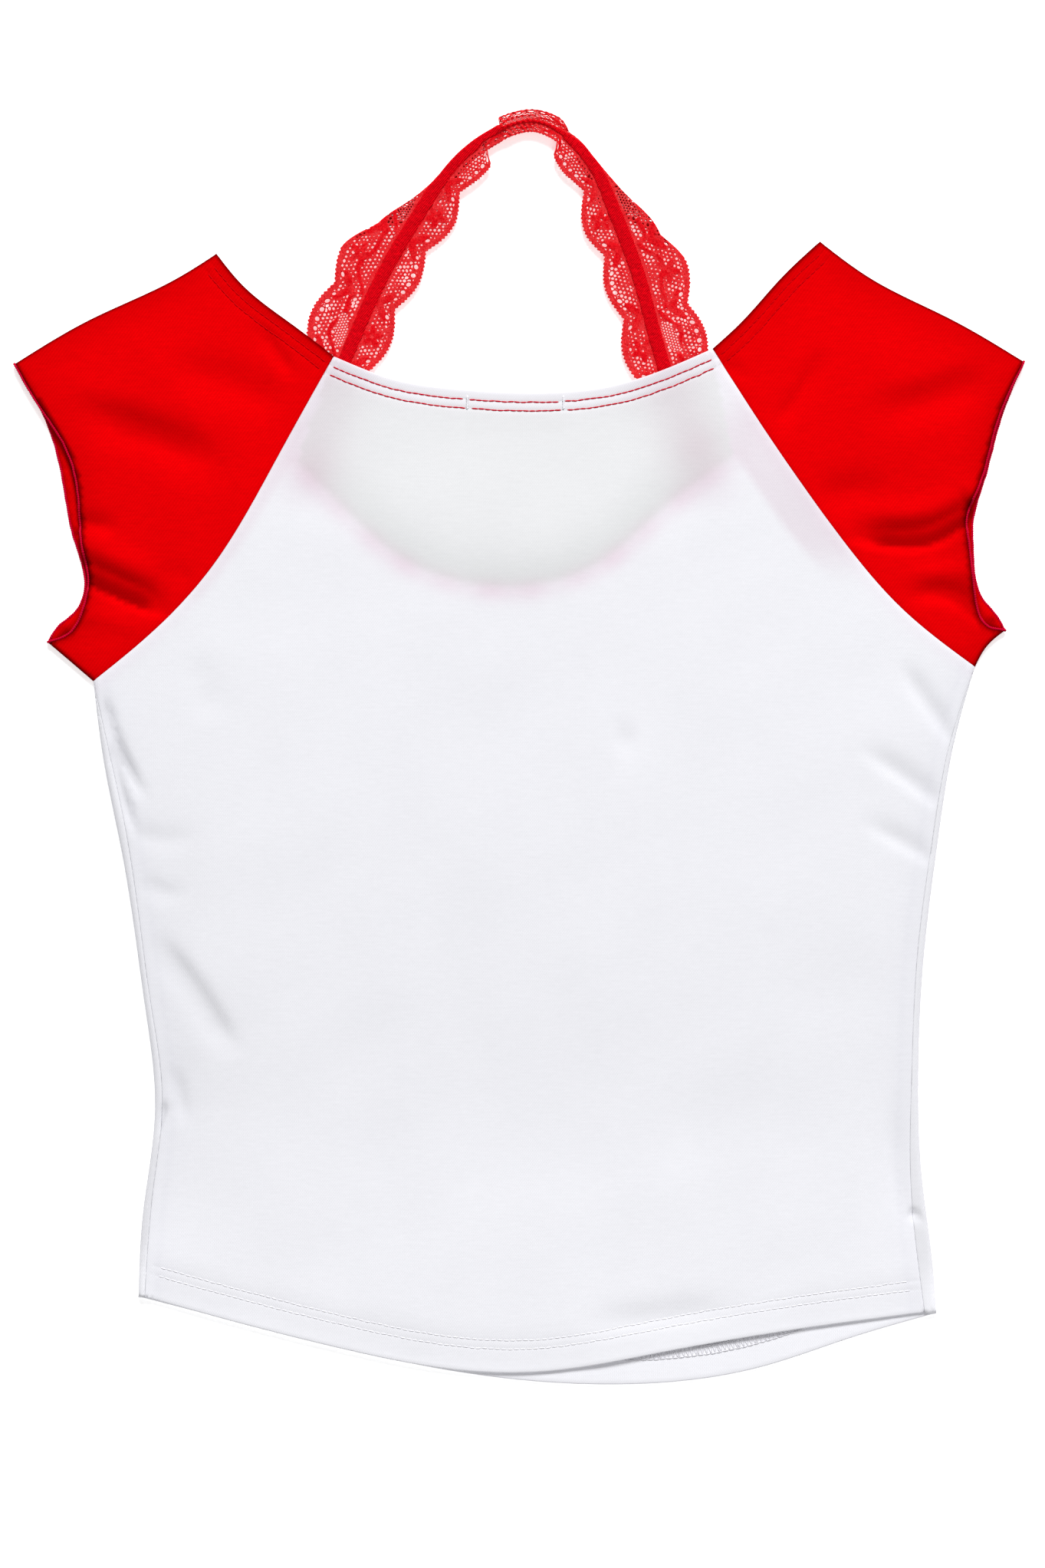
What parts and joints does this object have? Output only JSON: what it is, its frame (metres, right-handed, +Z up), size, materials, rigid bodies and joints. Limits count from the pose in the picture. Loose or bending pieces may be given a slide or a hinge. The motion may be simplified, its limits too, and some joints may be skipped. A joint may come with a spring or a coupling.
{
  "type": "cheer top",
  "caption": "Girls' raglan cheer top laid flat, back side up: white jersey body, red cap sleeves and a scalloped red lace halter loop at the neck.",
  "frame": {"origin": "centre of the bounding box's underside, on the surface that the top lies on", "axes": "back side up: +X to the wearer's right, +Y towards the neck and the halter loop, +Z up through the front panel to the back panel"},
  "size_m": [0.4603, 0.58, 0.0094],
  "materials": {
    "white_jersey": "matte knit",
    "red_jersey": "matte knit",
    "red_lace": "soft sheen lace",
    "red_elastic": "matte",
    "red_thread": "soft sheen",
    "edge_thread": "soft sheen",
    "white_thread": "soft sheen",
    "label": "satin"
  },
  "bodies": {
    "garment": {"front_panel": "white_jersey", "back_panel": "white_jersey", "left_sleeve": "red_jersey", "right_sleeve": "red_jersey", "left_back_raglan_seam": "red_thread", "right_back_raglan_seam": "red_thread", "left_front_raglan_seam": "red_thread", "right_front_raglan_seam": "red_thread", "left_side_seam": "white_thread", "right_side_seam": "white_thread", "left_sleeve_rolled_edge": "edge_thread", "right_sleeve_rolled_edge": "edge_thread", "back_neck_stitching": "red_thread", "front_neck_stitching": "red_thread", "left_sleeve_neck_stitching": "red_thread", "right_sleeve_neck_stitching": "red_thread", "back_hem_stitching": "white_thread", "front_hem_stitching": "white_thread", "left_strap_base": "red_lace", "right_strap_base": "red_lace", "left_elastic_base": "red_elastic", "right_elastic_base": "red_elastic", "left_strap_anchor_stitching": "red_thread", "right_strap_anchor_stitching": "red_thread", "size_label": "label", "size_label_tacks": "white_thread", "care_label": "label"},
    "halter_loop": {"halter_loop_strap": "red_lace", "halter_loop_elastic": "red_elastic"}
  },
  "joints": [
    {"name": "halter_fold", "type": "hinge", "parent": "garment", "child": "halter_loop", "pos_m": [0, 0.188, 0.0085], "axis": [1, 0, 0], "range_deg": [0, 175]}
  ]
}
